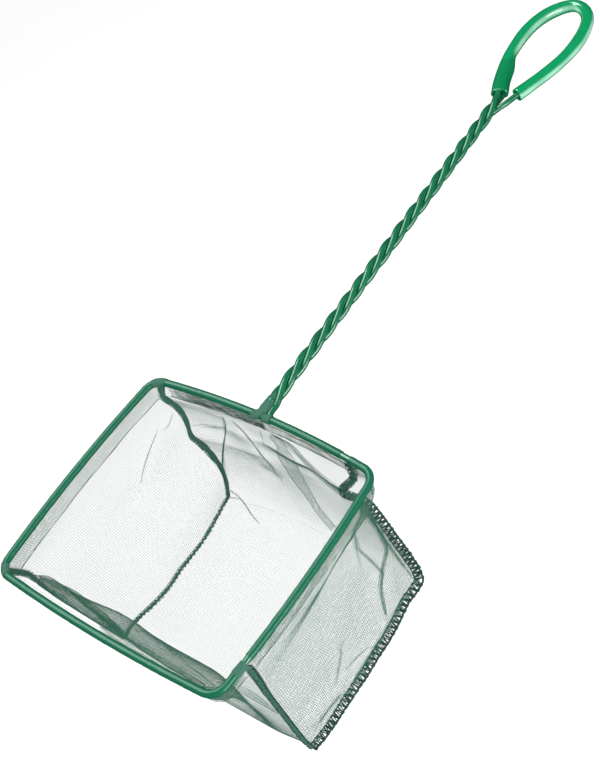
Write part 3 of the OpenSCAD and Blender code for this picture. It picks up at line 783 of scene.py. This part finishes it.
# Folds and tucks
# A soft fold draws the mesh's knots together along a line: the points it runs through, how
# wide it reaches and how hard it pulls. A tuck lays more mesh over the cloth, between two
# sharp edges. A crease is a sharp fold seen edge-on, drawn as a thin roll.
pinchSet = {
    "strip": [
        (4.0, 0.45, [(-30, 69.6, -61), (-24.4, 69.7, -62.1), (-20.7, 69.8, -64.4), (-15, 70, -68.2)]),
        (2.5, 0.6, [(-38.5, 67.6, -26), (-43.5, 67.4, -31), (-50, 67.2, -34), (-60, 65.9, -36)]),
        (1.6, 0.7, [(-27.5, 67.6, -15.3), (-22, 67.8, -26.5), (-18.1, 67.2, -42.3),
                    (-16.8, 69.2, -60)]),
        (2.0, 0.75, [(-33.9, 67.6, -14.5), (-41.4, 67.2, -35.1), (-54, 65.2, -60.8),
                     (-60.2, 61.5, -86)]),
        (3.2, 0.6, [(3.9, 67.8, -12), (21.1, 66.1, -22.4), (29.6, 66.3, -34.9), (39.8, 67.2, -46.4)]),
        (2.2, 0.6, [(-60.1, 59.5, -93), (-51.8, 58.7, -96), (-42.5, 54.6, -99.4),
                    (-33.9, 51.6, -100.8)]),
    ],
    "leftPanel": [
        (1.8, 0.6, [(-72.1, 62.4, -24.9), (-72.9, 55, -30.2), (-73.3, 50.7, -29)]),
        (1.8, 0.65, [(-74.1, 50.6, -26), (-73.5, 38.3, -31.5), (-71.9, 21, -41.5)]),
    ],
    "rightPanel": [
        (3.3, 0.86, [(61.9, 56.9, -26.1), (64.3, 57.4, -38.6), (66.5, 56.8, -47.9),
                     (67.5, 55.4, -62.9)]),
        (3.5, 0.91, [(66.5, 56.8, -47.9), (67.5, 55.4, -60.9), (69.5, 46.9, -66.4), (71, 38.5, -76),
                     (72.7, 33, -93)]),
        (2.9, 0.86, [(72, 41, -18), (68.7, 41.2, -37.9), (69.6, 44.3, -58), (70, 46, -74.3)]),
        (2.4, 0.81, [(68.3, 40.2, -28.5), (69.1, 38.5, -38.4), (69.9, 35.9, -49.5)]),
        (2.4, 0.86, [(64.5, 57.9, -26), (67, 57.5, -44), (68.2, 58.5, -70), (71.6, 59.2, -94)]),
        (2.6, 0.86, [(72.2, 50.5, -97.2), (72.6, 34.7, -97.2), (73.2, 20.8, -98.4),
                     (74.4, 4.7, -97.1), (75, -6.9, -96.7)]),
        (2.6, 0.81, [(72.6, 22.3, -100.8), (73.8, 13.9, -92.2), (74, 8.4, -88.8),
                     (72.5, -4.4, -86.1)]),
        (2.4, 0.76, [(74.9, 2, -63.5), (74.7, -3.1, -73.4), (72.8, -12.4, -86)]),
        (6.1, 0.66, [(74.5, -8, -97.3), (75.4, -20.5, -91.4), (75.7, -38.6, -88.9)]),
    ],
}
tuckSet = {
    "strip": [
        {"points": [(1.5, 67.4, -11.8), (5.5, 67.2, -18), (3.5, 67.4, -28), (3.3, 67.6, -39.5),
                    (2.5, 68, -50), (2.5, 68.4, -61), (2.8, 68.6, -74), (5, 67.8, -85),
                    (12.5, 66, -95)],
         "widths": (1.8, 5.0, 6.4, 6.0, 5.2, 4.2, 3.2, 3.2, 3.0), "layers": 1,
         "edge": 0.15, "pitch": 1.25},
        {"points": [(3.9, 67.8, -12), (10.8, 67.9, -13.5), (15.9, 67.5, -16.4), (21.1, 66.1, -22.4),
                    (26, 65.4, -27.1), (29.6, 66.3, -34.9), (33.4, 67, -41.2), (37.8, 67.2, -44.4)],
         "widths": (0.6, 0.8, 1.4, 1.8, 2.2, 2.4, 2.8, 3.0),
         "layers": 1, "edge": 0.13, "pitch": 1.15},
    ],
    "rightPanel": [
        {"points": [(61.9, 56.9, -30.1), (64.3, 57.4, -38.6), (66.5, 56.8, -47.9),
                    (67.5, 55.4, -60.9), (68.8, 51.2, -63.5), (69.5, 46.9, -66.4),
                    (70, 42.7, -69.5), (71, 38.5, -76), (72.7, 33.5, -90)],
         "widths": (0.5, 1.6, 1.8, 1.5, 1.6, 2.0, 1.8, 1.5, 0.8),
         "layers": 2, "edge": 0.0, "pitch": 1.15},
        {"points": [(72, 41, -20), (68.7, 41.2, -37.9), (69.4, 42.6, -47.4), (69.6, 44.3, -58),
                    (69.7, 45.6, -68.3)],
         "widths": (0.5, 1.5, 1.2, 1.4, 1.4), "layers": 1, "edge": 0.0, "pitch": 1.15},
        {"points": [(64.5, 57.9, -30), (67, 57.5, -44), (67.6, 57.9, -58), (68.2, 58.5, -70),
                    (70, 58.9, -82), (71.6, 59.2, -92)],
         "widths": (1.2, 1.8, 1.6, 1.8, 1.4, 0.8), "layers": 1, "edge": 0.0, "pitch": 1.15},
        {"points": [(72.2, 48.5, -97.2), (72.6, 34.7, -97.2), (73.2, 20.8, -98.4),
                    (74.4, 4.7, -97.1), (74.9, -0.9, -95.7)],
         "widths": (1.0, 1.8, 1.8, 1.6, 0.8), "layers": 1, "edge": 0.0, "pitch": 1.15},
    ],
    "farWall": [
        {"points": [(-70.9, -54.5, -23.7), (-61.7, -54.5, -21.7), (-52.6, -54.5, -19.8),
                    (-42, -54.5, -17.5), (-34.3, -54.5, -20.6), (-26.5, -54.5, -23.7),
                    (-18.7, -54.5, -27.7), (-12.6, -54.5, -32)],
         "widths": (4.5, 6.0, 6.8, 6.8, 6.4, 5.4, 4.0, 2.0),
         "layers": 4, "edge": 0.05, "pitch": 1.15},
        {"points": [(-24.8, -58.2, -28.7), (-14, -58.2, -29), (-3.4, -58.2, -29.2),
                    (11.8, -58.2, -27.3), (26.6, -58.2, -25.4), (42, -58.2, -21.4),
                    (52.7, -58.2, -19.6)],
         "widths": (0.3, 3.2, 4.6, 4.6, 3.6, 2.0, 0.3), "layers": 1, "edge": 0.02, "pitch": 1.15},
        {"points": [(67.2, -52.5, -18.2), (71.7, -50.5, -23.9), (72.1, -48, -38.2),
                    (70.5, -46.2, -50), (70.3, -44.8, -59.9)],
         "widths": (2.2, 2.8, 2.4, 1.6, 0.6), "layers": 1, "edge": 0.08, "pitch": 1.15},
    ],
}
creaseSet = {
    "strip": [
        (0.17, [(-27.5, 67.6, -15.3), (-24.5, 67.9, -20), (-22, 67.8, -26.5), (-20, 67.6, -34.2),
                (-18.1, 67.2, -42.3), (-16.5, 67.7, -49), (-16.8, 69.2, -57)]),
        (0.3, [(-33.9, 67.6, -14.5), (-36, 67.7, -23.8), (-41.4, 67.2, -35.1), (-47.1, 66, -46.4),
               (-54, 65.2, -60.8), (-59, 63.6, -74), (-60.2, 61.5, -84.4)]),
        (0.55, [(-43.4, 66.8, -39.1), (-49.1, 65.9, -50.4), (-55.5, 65, -63.8), (-59.4, 63.4, -75),
                (-60.6, 61.5, -86.4)]),
        (0.12, [(-66.2, 64.5, -37.9), (-56, 66.9, -33.9), (-48.4, 67.5, -32.2), (-41.2, 67.4, -29.8)]),
        (0.14, [(-6.7, 67.9, -12.6), (-8.4, 67.6, -21.5), (-9.6, 66.9, -27)]),
        (0.26, [(-60.1, 59.5, -93), (-55.6, 59.4, -94.3), (-51.8, 58.7, -96), (-47.8, 57.2, -98.1),
                (-42.5, 54.6, -99.4), (-37.7, 52.9, -100.3), (-33.9, 51.6, -100.8)]),
        (0.18, [(-60.3, 56.8, -97.4), (-55.8, 57.9, -96.4), (-51.8, 58.7, -96)]),
    ],
    "leftPanel": [
        (0.13, [(-72.1, 62.4, -25.9), (-72.8, 58.5, -29), (-72.9, 55, -30.2), (-73.3, 51.7, -29)]),
        (0.15, [(-74.1, 49.6, -26.6), (-73.8, 45, -29), (-73.5, 38.3, -31.5), (-73, 32.4, -34),
                (-72.5, 27.1, -37.3), (-71.9, 23, -40.5)]),
    ],
    "farWall": [
        (0.2, [(44.7, -56, -10.2), (48.5, -56, -12.9), (52.1, -56, -14.8), (53.5, -56, -20.8),
               (58.1, -56, -20.5)]),
        (0.2, [(31.7, -58, -38.4), (40.2, -58, -32.2), (47.2, -58, -27.5), (56.4, -58, -19.5),
               (66.1, -58, -8.9)]),
    ],
}
foldSet = {"lift": 0.9, "layerGap": 0.5, "tilt": 0.1, "wobble": 0.08, "roughness": 0.15}
liftDir = facing * foldSet["lift"]


def pinch(grid, sheetName):
    # moves knots towards each soft fold's line, square to it and across the view
    grid = grid.copy()
    for width, pull, points in pinchSet[sheetName]:
        line = spline(points, step=1.0)
        flat = line - (line @ facing)[:, None] * facing
        k = np.linspace(0, 1, len(line))
        fade = np.sin(np.pi * k) ** 0.5
        p = grid.reshape(-1, 3)
        q = p - (p @ facing)[:, None] * facing
        gap = np.linalg.norm(q[:, None] - flat[None], axis=2)
        near = gap.argmin(1)
        dist = gap.min(1)
        w = pull * fade[near] * np.exp(-((dist / width) ** 2))
        grid = (p - w[:, None] * (q - flat[near])).reshape(grid.shape)
    return grid


def foldParts(sheetName):
    # threads of the tucks and creases that lie on one cloth
    parts = []
    for one in tuckSet.get(sheetName, []):
        line = spline(one["points"], step=0.8) + liftDir
        for layer in range(one["layers"]):
            tilt = unitOf(facing + rng.normal(size=3) * foldSet["tilt"])
            grid = ribbonGrid(line + liftDir * foldSet["layerGap"] * layer, one["widths"],
                              tilt, one["pitch"])
            parts.append(meshThreads(grid, bagSet["threadR"], foldSet["wobble"]))
        w = spreadOver(one["widths"], len(line))[:, None]
        side = unitOf(np.cross(facing, tangents(line)))
        for hand in (-0.5, 0.5) if one["edge"] else ():
            parts.append(sweepTube(line + hand * w * side, one["edge"], 5, facing))
    for r, points in creaseSet.get(sheetName, []):
        line = spline(points, step=0.7) + liftDir
        k = np.linspace(0, 1, len(line))
        taper = r * (0.3 + 0.7 * np.sin(np.pi * np.clip(k * 0.9 + 0.08, 0, 1)) ** 0.6)
        uneven = 1 + foldSet["roughness"] * rng.normal(size=len(line))
        parts.append(sweepTube(line, taper * uneven, 6, facing))
    return parts


strip = pinch(strip, "strip")
leftPanel = pinch(leftPanel, "leftPanel")
rightPanel = pinch(rightPanel, "rightPanel")

# Hems: cloth folded over the wire and sewn below it
hemSet = {"casingR": 2.06, "sides": 18, "drop": 11.0, "threadR": 0.087, "wobble": 0.1,
          "looseWobble": 0.2, "clear": 3}


def casing(fromS, toS, r, rough=0.02):
    # sheath of cloth round the wire, slightly uneven
    n = int((toS - fromS) / 0.8) + 1
    path = rimAt(np.linspace(fromS, toS, n))[0]
    rings = sweepRings(path, 1.0, hemSet["sides"])
    lump = r * (1 + rough * rng.normal(size=(n, hemSet["sides"], 1)))
    rings = path[:, None] + (rings - path[:, None]) * lump
    return rings.reshape(-1, 3), [gridFaces(n, hemSet["sides"], closed=True)]


def flapGrid(fromS, toS, top=-1.4, drop=hemSet["drop"], inset=0.8, ripple=0.35, pitch=1.2):
    # grid of the hem's inner layer: rows down from the wire, columns along the rim
    n = int((toS - fromS) / pitch) + 1
    s = np.linspace(fromS, toS, n)
    path, out = rimAt(s)
    wave = ripple * (np.sin(s / 7.3 + fromS) + 0.6 * np.sin(s / 3.1 + 1.7))
    rows = int(round((drop + top) / pitch)) + 1
    z = np.linspace(top, -drop, rows)[:, None]
    k = (np.linspace(0, 1, rows)[:, None]) ** 1.3
    grid = np.repeat(path[None], rows, 0)
    grid[..., 2] = z + 0.5 * wave[None] * k
    return grid - out[None] * (0.3 + (inset + wave[None]) * k)[..., None]


# Cloth bunched below the wire on the far side, from the middle to the right corner. Start is
# its distance from the corner, and part its end as a share of the side.
bunchSet = ({"inset": 7.0, "drop": 6.0, "part": 0.56, "start": 26, "pitch": 1.9},
            {"inset": 10.0, "drop": 7.0, "part": 0.58, "start": 44, "pitch": 1.9},
            {"inset": 12.0, "drop": 7.5, "part": 0.54, "start": 58, "pitch": 1.6},
            {"inset": 0.9, "drop": 7.0, "part": 0.5, "start": 4, "pitch": 1.2})
bunched = foldParts("farWall")
for one in bunchSet:
    toS = sD + hemSet["clear"] + (sA - sD - 2 * hemSet["clear"]) * one["part"]
    grid = flapGrid(sD + one["start"], toS, inset=one["inset"], drop=one["drop"],
                    pitch=one["pitch"])
    bunched.append(meshThreads(grid, hemSet["threadR"], hemSet["wobble"]))

stripFolds = foldParts("strip")
backObj = meshSheet("stripHandleWall", strip[:rowsBack], stripFolds,
                    bagSet["backThreadR"])
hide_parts("net_strip")
meshSheet("stripBottom", strip[rowsBack - 1 : rowsFloor + 1])
meshSheet("stripFarWall", strip[rowsFloor:], bunched, bagSet["farThreadR"])
leftObj = meshSheet("leftEndPanel", leftPanel, foldParts("leftPanel"))
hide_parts("left_end_panel")
rightObj = meshSheet("rightEndPanel", rightPanel, foldParts("rightPanel"))
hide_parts("right_end_panel")
print("bag done")


def rimThread(fromS, toS, z, inset, r, waver):
    # thread along the hem, a little below or beside its true line in places
    n = int((toS - fromS) / 0.7)
    s = np.linspace(fromS, toS, n)
    path, out = rimAt(s)
    path = path - out * (inset + waver * np.sin(s / 2.3))[:, None]
    path[:, 2] = z + waver * 2 * np.sin(s / 5.9 + 1) + waver * rng.normal(size=n) * 0.4
    return sweepTube(path, r, 6)


def makeHem(name, node, fromS, toS, flap, extra=()):
    # cloth sheath round one side of the wire, with the flap that hangs inside the bag
    fromS, toS = fromS + hemSet["clear"], toS - hemSet["clear"]
    inner = flapGrid(fromS + 0.5, toS - 0.5, **flap)
    parts = [casing(fromS, toS, hemSet["casingR"]),
             meshThreads(inner, hemSet["threadR"], hemSet["wobble"]), *extra]
    obj = addMesh(name, parts, casingMat)
    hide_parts(node)
    # the threads of the flap are mesh, the sheath round the wire is tight cloth
    secondMaterial(obj, hemMat, parts[0])


# loose layers behind the hem on the handle side, left of the handle
looseSet = ({"fromS": 8, "top": -3.0, "drop": 11.4, "inset": 1.4, "ripple": 0.5},
            {"fromS": 16, "top": -5.0, "drop": 10.9, "inset": 0.4, "ripple": 0.6})
nearLeft = sB - rimTotal  # the near left corner, counted back from the handle
loose = []
for one in looseSet:
    grid = flapGrid(toS=-3, pitch=1.25, **{**one, "fromS": nearLeft + one["fromS"]})
    loose.append(meshThreads(grid, hemSet["threadR"], hemSet["looseWobble"]))
makeHem("handleHem", "handle_hem", nearLeft, sC, {}, loose)
makeHem("leftHem", "left_hem", sA, sB, {})
makeHem("rightHem", "right_hem", sC, sD, {"ripple": 0.04, "inset": 0.3})
makeHem("frontHem", "front_hem", sD, sA,
        {"inset": 1.6, "drop": 10.5, "pitch": 1.4})

# the threads along the hems: from, to, height, distance in from the wire, radius and waver
edgeZ = -hemSet["drop"]
threadSet = (
    (nearLeft + 3, -2, edgeZ, 1.2, 0.2, 0.12),
    (2, sC - 2, edgeZ, 1.2, 0.2, 0.12),
    (sC + 3, sD - 3, edgeZ, 1.2, 0.09, 0.12),
    (sD + 3, sA - 3, edgeZ, 1.2, 0.15, 0.12),
    (sA + 3, sB - 3, edgeZ, 1.2, 0.2, 0.12),
    (2, sC - 3, -5.6, 0.9, 0.17, 0.12),
    (nearLeft + 10, -3, -7.6, 1.5, 0.2, 0.4),
    (nearLeft + 14, -3, -9.0, 1.6, 0.2, 0.4),
)
threads = [rimThread(*one) for one in threadSet]
stitchObj = addMesh("hemStitching", threads, threadMat)
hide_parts("hem_stitching")
print("hems done")

# Overlock seams
# Widths are given at lengths along the seam. Body is the cloth edge's share of the width, runs
# how many looped threads there are and reach how far across they go.
overSet = {
    "leftSolid": {"pitch": 2.3, "r": 0.17, "body": 0.8, "jitter": 0.4, "veil": 0,
                  "runs": 2, "reach": 0.82,
                  "widths": ((0, 4.3), (15, 3.9), (30, 3.8), (39, 2.7), (50, 3.9), (60, 4.7),
                             (72, 3.5), (85, 2.7), (101, 2.7))},
    "leftFloor": {"pitch": 2.8, "r": 0.2, "body": 0.55, "jitter": 0.5, "veil": 0,
                  "runs": 2, "reach": 0.85,
                  "widths": ((0, 2.5), (30, 2.4), (50, 2.9), (80, 2.9), (110, 2.4))},
    "leftFar": {"pitch": 2.4, "r": 0.16, "body": 0.7, "jitter": 0.2, "veil": 0,
                "runs": 3, "reach": 1,
                "widths": ((0, 4.2), (22, 3.6), (30, 1.6), (60, 1.0), (110, 1.0))},
    "rightBunch": {"pitch": 2.8, "r": 0.24, "body": 0.62, "jitter": 0.6, "veil": 2,
                   "runs": 2, "reach": 0.9,
                   "widths": ((0, 4.6), (12, 4.4), (24, 4.6), (40, 4.4))},
    "rightLadder": {"pitch": 3.3, "r": 0.3, "body": 0.0, "jitter": 0.4, "veil": 0,
                    "runs": 3, "reach": 1,
                    "widths": ((0, 4.6), (30, 4.8), (60, 5.0), (120, 4.8), (170, 4.2))},
    "rightFar": {"pitch": 2.6, "r": 0.2, "body": 0.75, "jitter": 0.4, "veil": 1,
                 "runs": 2, "reach": 0.88,
                 "widths": ((0, 2.6), (20, 2.9), (60, 3.1), (80, 4.0), (96, 4.4))},
}
# One loop of thread, as shares of the pitch and the width, and its heights in millimetres.
stitchSet = {"steps": (0.0, 0.30, 0.50, 0.70, 0.98),
             "across": (0.42, -0.40, -0.50, -0.40, 0.42),
             "heights": (0.15, 0.5, 0.1, -0.4, -0.1),
             "starts": ((0.0, 1), (0.5, -1), (0.2, 1))}


def overlock(line, one):
    # cloth edge with its needle line and looped threads
    s = pathLength(line)
    stations, widths = np.array(one["widths"]).T
    side = unitOf(np.cross(facing, tangents(line)))
    over = np.cross(tangents(line), side)

    def place(at, k, lift=0.0):
        # points of the seam at lengths, k from -0.5 to 0.5 across its width
        at = np.clip(at, 0, s[-1])
        sideways = unitOf(pointsAt(at, s, side)) * (k * np.interp(at, stations, widths))[:, None]
        raised = pointsAt(at, s, over) * np.broadcast_to(lift, len(at))[:, None]
        return pointsAt(at, s, line) + sideways + raised

    parts = []
    if one["body"]:
        at = np.arange(0, s[-1], 0.6)
        wide = np.interp(at, stations, widths) * one["body"] / 2
        wide = wide * (1 + 0.14 * np.sin(at / 1.7) + 0.08 * rng.normal(size=len(at)))
        parts.append(sweepTube(place(at, 0 * at), 0.4, 10, facing, wide=wide))
    pitch, r = one["pitch"], one["r"]
    for layer in range(one["veil"]):
        veilWidths = np.interp(np.linspace(0, s[-1], 24), stations, widths) * 0.86
        tilt = unitOf(facing + rng.normal(size=3) * 0.08)
        parts.append(meshThreads(ribbonGrid(line + over * 0.2 * layer, veilWidths, tilt, 1.5),
                                 0.12, 0.2))
    at = np.arange(0, s[-1], 0.7)
    if not one["body"]:
        needle = place(at, 0.40 + 0.03 * rng.normal(size=len(at)), 0.2)
        parts.append(sweepTube(needle, r * 2.0, 7, facing))
    bulge = 0.05 * np.cos(2 * np.pi * at / pitch)
    parts.append(sweepTube(place(at, -(0.45 + bulge), 0.1), r * 1.1, 6, facing))
    for shift, reverse in stitchSet["starts"][: one["runs"]]:
        n = int(s[-1] / pitch)
        starts = (np.arange(n) + shift)[:, None] * pitch
        steps = np.array(stitchSet["steps"])[None] * pitch
        across = np.array(stitchSet["across"]) * reverse * one["reach"]
        spots = (starts + steps + one["jitter"] * rng.normal(size=(n, 5)) * 0.6).ravel()
        heights = np.tile(stitchSet["heights"], n) * 0.9
        knots = place(spots, np.tile(across, n) + 0.03 * rng.normal(size=5 * n), heights)
        parts.append(sweepTube(spline(knots, step=0.4), r, 6, facing))
    return parts


def seamObject(name, node, stretches, loopMat):
    # one seam from its stretches, each with its own style, split by material
    for tag, material in (("Cloth", seamMat), ("Loops", loopMat)):
        parts = []
        for line, style in stretches:
            made = overlock(resample(line, 0.6), overSet[style])
            body = 1 if overSet[style]["body"] else 0
            parts += made[:body] if tag == "Cloth" else made[body:]
        obj = addMesh(name + tag, parts, material)
        if tag == "Cloth":
            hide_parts(node)


seamObject("leftSeam", "left_overlock_seam", [
    (seamLine["leftBack"], "leftSolid"),
    (seamLine["leftLow"], "leftFloor"),
    (seamLine["leftFront"], "leftFar"),
], greenThread)
bunchShare = 0.36  # the part of the near right seam that is bunched up
bunch = int(len(seamLine["rightBack"]) * bunchShare)
seamObject("rightSeam", "right_overlock_seam", [
    (seamLine["rightBack"][:bunch], "rightBunch"),
    (np.vstack([seamLine["rightBack"][bunch:], seamLine["rightLow"][1:]]), "rightLadder"),
    (seamLine["rightFront"][::-1], "rightFar"),
], threadMat)

# dense cloth of the seams' ends, sewn over the wire: its middle and width, two layers at B
patchSet = {"r": 2.3, "rough": 0.05,
            "spots": ((sA - 1.0, 7.0), (sB, 8.0), (sD + 4.0, 7.0), (nearLeft, 8.0))}
patches = [casing(s - w / 2, s + w / 2, patchSet["r"], patchSet["rough"])
           for s, w in patchSet["spots"]]
addMesh("seamEnds", patches, seamMat)
print("seams done")

# Gathered cloth on the handle's root
gatherSet = {"points": [(-6.5, 68.7, 0.3), (-4, 69.6, 0.6), (-2, 71.6, 0.9), (-1.4, 75.5, 1),
                        (-1.6, 80, 0.8), (-2.2, 84.5, 0.5)],
             "radii": (2.1, 2.6, 3.1, 3.0, 2.5, 1.9), "lump": 0.09, "sides": 22,
             "collar": (0.5, 5.5, 2.5, 0.05)}
gatherLine = spline(gatherSet["points"], step=0.5)
sides = gatherSet["sides"]
k = np.linspace(0, 1, len(gatherLine))[:, None]
r = spreadOver(gatherSet["radii"], len(gatherLine))[:, None]
a = 2 * np.pi * np.arange(sides) / sides
pleats = 1 + gatherSet["lump"] * (np.sin(5 * a[None] + 6 * k)
                                  + 0.5 * rng.normal(size=(len(k), sides)))
spokes = sweepRings(gatherLine, 1.0, sides) - gatherLine[:, None]
rings = gatherLine[:, None] + spokes * (r * pleats)[..., None]
gathered = (rings.reshape(-1, 3), [gridFaces(len(k), sides, closed=True)])
gatherObj = addMesh("rootGather", [gathered, casing(*gatherSet["collar"])], seamMat)
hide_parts("base_gather")
print("gather done")
